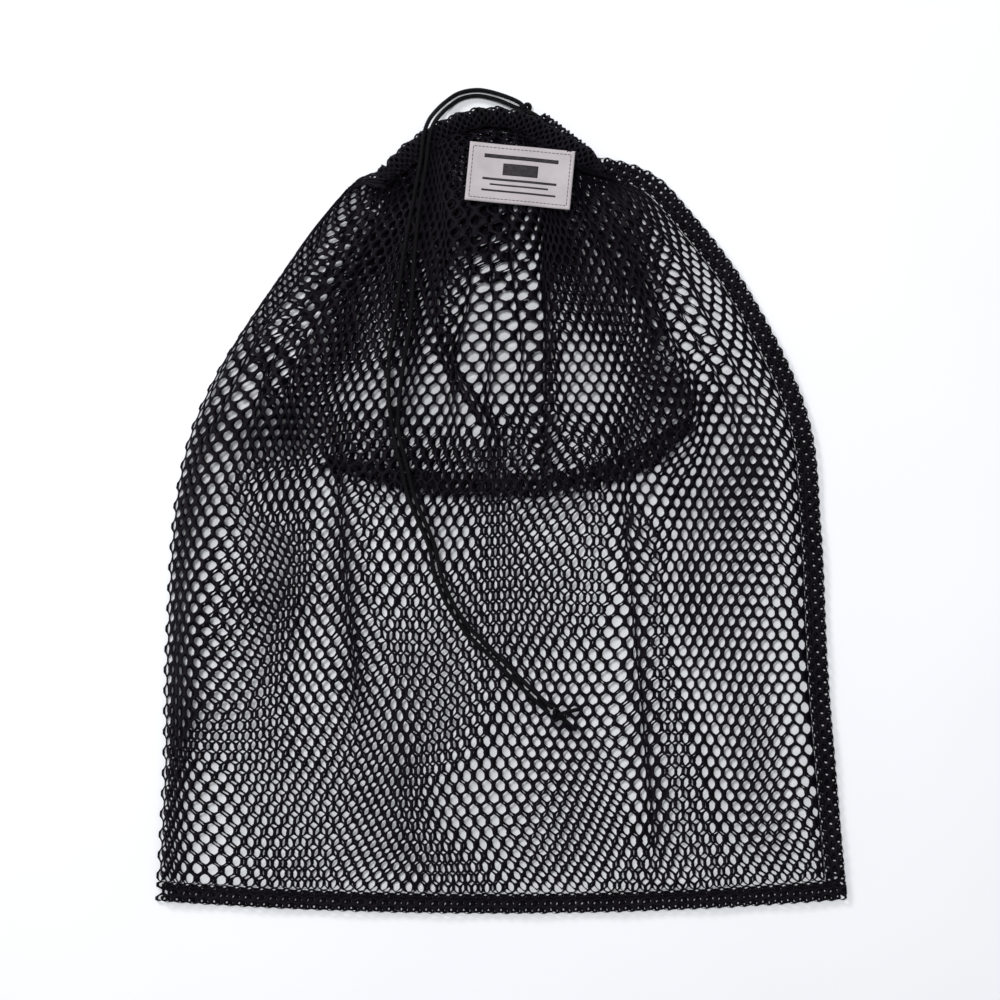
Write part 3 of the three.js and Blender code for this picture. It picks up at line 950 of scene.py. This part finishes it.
def by_mouth(along, aside):
    """A place on the sleeve's axis, in mm out of its mouth and to its side."""
    xy = SLEEVE_MOUTH + PULL * along * MM + PULL_SIDE * aside * MM
    return np.array((xy[0], xy[1], SLEEVE_Z))


channel_piece("channel_sleeve_net",
              np.array([by_mouth(a, 0) for a in np.linspace(-33, 0.5, 40)]),
              4.9 * MM, 2.5 * MM, "channel_sleeve")

for node, z in (("channel_stitching_front", 13.6 * MM), ("channel_stitching_back", 2.6 * MM)):
    row = stitch_row(f"{node}_row", NECK_LINE, (0.06, 0.92), -4.7 * MM, z, 3.0 * MM, 0.84)
    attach(row, "bag")
    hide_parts(node)


# ---- drawcord -------------------------------------------------------------------------------

CORD_D = 2.3 * MM
BRAID_LAY = 1.7 * MM
KNOT_OUT = 7.5  # mm out of the sleeve's mouth


def braid(name, path, ring=14, step=0.45 * MM):
    """A round braided cord: bundles that cross over and under show as rows of small bumps."""
    line = Line(catmull(path, 12))
    count = max(8, int(line.length / step))
    places = line.at(np.linspace(0, 1, count))
    way, side, up = tube_frames(places)
    along = np.linspace(0, line.length, count)
    angle = np.linspace(0, 2 * math.pi, ring, endpoint=False)
    a = np.cos(4 * angle[None, :] + 2 * math.pi * along[:, None] / BRAID_LAY)
    b = np.cos(4 * angle[None, :] - 2 * math.pi * along[:, None] / BRAID_LAY)
    radius = CORD_D / 2 * (0.93 + 0.075 * np.maximum(a, b))
    ringed = (places[:, None, :]
              + side[:, None, :] * (radius * np.cos(angle))[..., None]
              + up[:, None, :] * (radius * np.sin(angle))[..., None])
    vertices = ringed.reshape(-1, 3)
    faces = [tuple(f) for f in grid_faces(count, ring, True)]
    base = (count - 1) * ring
    tips = np.vstack([places[0] - way[0] * 0.3 * CORD_D, places[-1] + way[-1] * 0.3 * CORD_D])
    vertices = np.vstack([vertices, tips])
    first, last = len(vertices) - 2, len(vertices) - 1
    for j in range(ring):
        faces.append((first, (j + 1) % ring, j))
        faces.append((last, base + j, base + (j + 1) % ring))
    return make_piece(name, vertices, faces, CORD), line


def overhand(centre, size, turn):
    """The closed path of an overhand knot, drawn tight, turned in plan and set on the centre."""
    t = np.linspace(0, 2 * math.pi, 46)
    x = (np.sin(t) + 1.6 * np.sin(2 * t)) / 2.4
    y = (np.cos(t) - 1.6 * np.cos(2 * t)) / 2.4
    z = -np.sin(3 * t)
    c, s = math.cos(turn), math.sin(turn)
    px = x * size[0]
    py = y * size[1]
    pts = np.column_stack([px * c - py * s, px * s + py * c, z * size[2]])
    pts = pts + centre
    return np.vstack([pts, pts[:1]])


def strand_path(side):
    """One strand of the cord: straight out of the channel, then along the route."""
    pts = [by_mouth(a, 1.5 * side) for a in (-27, -18, -9, -2)] + [by_mouth(3.0, 1.2 * side)]
    pts.append(by_mouth(KNOT_OUT, 0) + np.array((0, 0, 0.6 * side * MM)))
    way = np.gradient(STRAND_ROUTE[:, :2], axis=0)
    way /= np.linalg.norm(way, axis=1, keepdims=True)
    for (x, y, z, half), (wx, wy) in zip(STRAND_ROUTE, way):
        pts.append(np.array((x + wy * side * half, y - wx * side * half, z)))
    return np.array(pts)


END_KNOT_AT = np.array((29.0, -103.6, 16.0)) * MM

exit_knot, _ = braid("exit_knot_cord", overhand(
    by_mouth(KNOT_OUT, 0), (3.4 * MM, 3.2 * MM, 1.5 * MM), math.atan2(PULL[1], PULL[0])))
end_knot, _ = braid("end_knot_cord", overhand(
    END_KNOT_AT, (2.7 * MM, 2.5 * MM, 1.3 * MM), math.radians(-45)))

tails = []
# Along the tail, to its side and up from the end knot, in mm.
TAIL = ((0.5, 0, 0), (3.5, 0.3, -0.1), (6.5, 0.2, -0.4), (12.0, -0.4, -0.8))
for name, turn in (("cord_tail_a_cord", 18), ("cord_tail_b_cord", -36)):
    d = np.array((math.cos(math.radians(turn)), math.sin(math.radians(turn)), 0.0))
    bend = np.array((-d[1], d[0], 0.0))
    pts = [END_KNOT_AT + d * r * MM + bend * w * MM + np.array((0, 0, z * MM))
           for r, w, z in TAIL]
    tail, _ = braid(name, np.array(pts))
    tails.append(tail)

for side, node in ((-1, "a"), (1, "b")):
    path = strand_path(side)
    strand, line = braid(f"cord_{node}", path)
    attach(strand, "drawcord")
    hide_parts(f"cord_strand_{node}", f"cord_lead_{node}")

for piece, node in ((exit_knot, "exit_knot"), (end_knot, "end_knot"),
                    (tails[0], "cord_tail_a"), (tails[1], "cord_tail_b")):
    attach(piece, "drawcord")
    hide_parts(node)

hidden = np.vstack([
    run_path(0.06, NECK_RUN_END, FRONT_RUN_Z), turn_path()[2:-2],
    run_path(0.06, NECK_RUN_END, BACK_RUN_Z + 0.3 * MM)[::-1],
])
inner_cord, _ = braid("cord_in_channel_cord", hidden[::3], ring=10, step=0.9 * MM)
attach(inner_cord, "bag")
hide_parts("cord_in_channel")


# ---- label ----------------------------------------------------------------------------------

LABEL_AT = np.array((9.9, 172.4, 15.4)) * MM
LABEL_SIZE = np.array((54.0, 30.0)) * MM
LABEL_TURN = math.radians(-5.5)


def label_point(x, y, lift=0.0):
    """A place on the label from its middle, with the soft waves of the cloth under it."""
    c, s = math.cos(LABEL_TURN), math.sin(LABEL_TURN)
    wave = (0.35 * np.sin(x / MM * 0.21 + 0.8) + 0.25 * np.sin(y / MM * 0.33 + x / MM * 0.1)) * MM
    return np.stack([
        LABEL_AT[0] + x * c - y * s, LABEL_AT[1] + x * s + y * c, LABEL_AT[2] + wave + lift,
    ], axis=-1)


def label_sheet(name, x0, x1, y0, y1, low, high, material, soft=0.35 * MM):
    """A thin slab with softly rounded edges that lies on the label's surface."""
    step = 0.6 * MM
    columns = max(4, int((x1 - x0) / step))
    rows = max(4, int((y1 - y0) / step))
    x, y = np.meshgrid(np.linspace(x0, x1, columns), np.linspace(y0, y1, rows))
    edge = np.minimum.reduce([x - x0, x1 - x, y - y0, y1 - y])
    round_off = (1 - smooth_step(edge, 0, soft)) * (high - low) * 0.45
    top = label_point(x, y, high - round_off).reshape(-1, 3)
    bottom = label_point(x, y, low + round_off).reshape(-1, 3)
    quads = grid_faces(rows, columns, False)
    faces = [tuple(q) for q in quads] + [tuple(q[::-1] + rows * columns) for q in quads]
    n = rows * columns
    index = np.arange(n).reshape(rows, columns)
    loop = np.concatenate([index[0, :-1], index[:-1, -1], index[-1, :0:-1], index[:0:-1, 0]])
    nxt = np.roll(loop, -1)
    faces += [(b, a, a + n, b + n) for a, b in zip(loop, nxt)]
    return make_piece(name, np.vstack([top, bottom]), faces, material)


def label_material():
    material, shader = new_material("label_satin", 0.62, 0.15)
    place = object_coordinates(material)
    tone = add_node(material, "ShaderNodeTexNoise", Scale=60.0, Detail=5.0, Roughness=0.65)
    link(material, place, tone.inputs["Vector"])
    colour_by(material, shader, tone.outputs["Fac"], (0.33, 0.295, 0.31), (0.42, 0.385, 0.40))
    weave = material.node_tree.nodes.new("ShaderNodeTexWave")
    weave.inputs["Scale"].default_value = 700.0
    weave.inputs["Distortion"].default_value = 1.2
    link(material, place, weave.inputs["Vector"])
    bump_by(material, shader, weave.outputs["Fac"], 0.35, 0.0001)
    return material


def print_material():
    material, shader = new_material("label_print", 0.6, 0.0, 0.1)
    place = object_coordinates(material)
    tone = add_node(material, "ShaderNodeTexNoise", Scale=420.0, Detail=4.0, Roughness=0.7)
    link(material, place, tone.inputs["Vector"])
    colour_by(material, shader, tone.outputs["Fac"], (0.012, 0.011, 0.013), (0.045, 0.04, 0.045))
    return material


LABEL = label_material()
PRINT = print_material()
LABEL_THREAD = knitted_material("label_thread", (0.03, 0.026, 0.035), (0.09, 0.08, 0.10), 0.5)

half_w, half_h = LABEL_SIZE / 2
label = label_sheet("label_cloth", -half_w, half_w, -half_h, half_h, -0.3 * MM, 0.3 * MM, LABEL)
FOLD_IN = 3.2 * MM
fold_left = label_sheet("label_fold_left", -half_w, -half_w + FOLD_IN, -half_h + 0.2 * MM,
                        half_h - 0.2 * MM, -0.75 * MM, -0.3 * MM, LABEL)
fold_right = label_sheet("label_fold_right", half_w - FOLD_IN, half_w, -half_h + 0.2 * MM,
                         half_h - 0.2 * MM, -0.75 * MM, -0.3 * MM, LABEL)
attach(label, "bag")
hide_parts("label")
for piece in (fold_left, fold_right):
    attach(piece, "bag")

# Plain woven bars in place of any print, in mm from the label's middle: left, right, low, high.
BARS = (
    (-19, 19, 7.6, 9.6), (-9, 9, -0.6, 5.4), (-19, 19, -3.6, -2.4), (-15, 15, -6.2, -5.3),
    (-19, 19, -9.4, -8.4),
)
for k, (x0, x1, y0, y1) in enumerate(BARS):
    bar = label_sheet(f"label_bar_{k + 1}", x0 * MM, x1 * MM, y0 * MM, y1 * MM, 0.28 * MM,
                      0.36 * MM, PRINT, soft=0.1 * MM)
    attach(bar, "bag")


def label_stitches():
    """A line of short stitches round the label, inside its edge."""
    inset = 2.0 * MM
    pitch = 2.0 * MM
    radius = 0.16 * MM
    w, h = half_w - inset, half_h - inset
    corners = np.array([(-w, -h), (w, -h), (w, h), (-w, h), (-w, -h)])
    vertices = []
    faces = []
    ring = 6
    angle = np.linspace(0, 2 * math.pi, ring, endpoint=False)
    shape = ((-0.5, 0.1), (-0.42, 0.8), (0.0, 1.0), (0.42, 0.8), (0.5, 0.1))
    for a, b in zip(corners[:-1], corners[1:]):
        span = np.linalg.norm(b - a)
        way = (b - a) / span
        side = np.array((way[1], -way[0]))
        for k in range(int(span / pitch)):
            centre = a + way * (k + 0.5) * pitch
            base = len(vertices)
            for s, swell in shape:
                for turn in angle:
                    p = centre + way * s * 1.6 * MM + side * math.cos(turn) * radius * swell
                    lift = 0.34 * MM + math.sin(turn) * radius * swell
                    vertices.append(label_point(p[0], p[1], lift))
            for i in range(len(shape) - 1):
                for j in range(ring):
                    u = base + i * ring + j
                    v = base + i * ring + (j + 1) % ring
                    faces.append((u, v, v + ring, u + ring))
            faces.append(tuple(base + j for j in reversed(range(ring))))
            faces.append(tuple(base + (len(shape) - 1) * ring + j for j in range(ring)))
    return make_piece("label_stitches", vertices, faces, LABEL_THREAD)


stitches = label_stitches()
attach(stitches, "bag")
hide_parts("label_stitching")


# ---- floor and light ------------------------------------------------------------------------

def floor_material():
    material, shader = new_material("studio_floor", 0.9, 0.0, 0.2)
    place = object_coordinates(material)
    tone = add_node(material, "ShaderNodeTexNoise", Scale=6.0, Detail=2.0)
    link(material, place, tone.inputs["Vector"])
    colour_by(material, shader, tone.outputs["Fac"], (0.775, 0.785, 0.812), (0.80, 0.81, 0.838))
    return material


FLOOR_HALF = 9.0
FLOOR_Z = -0.35 * MM
corners = [(x * FLOOR_HALF, y * FLOOR_HALF, FLOOR_Z)
           for x, y in ((-1, -1), (1, -1), (1, 1), (-1, 1))]
floor = make_piece("floor", corners, [(0, 1, 2, 3)], floor_material(), smooth=False)


def area_light(name, place, size, power):
    data = bpy.data.lights.new(name, "AREA")
    data.shape = "DISK"
    data.size = size
    data.energy = power
    lamp = bpy.data.objects.new(name, data)
    bpy.context.collection.objects.link(lamp)
    lamp.location = place
    lamp.rotation_euler = (Vector((0, 0, 0)) - Vector(place)).to_track_quat("-Z", "Y").to_euler()


area_light("front", (-0.22, 0.28, 1.9), 0.26, 20.0)
area_light("key", (-1.15, 1.3, 0.95), 0.6, 27.0)

world = bpy.data.worlds.new("studio")
world.use_nodes = True
world.node_tree.nodes["Background"].inputs["Color"].default_value = (0.965, 0.975, 1.0, 1)
world.node_tree.nodes["Background"].inputs["Strength"].default_value = 0.46
bpy.context.scene.world = world
bpy.context.scene.view_settings.view_transform = "Standard"
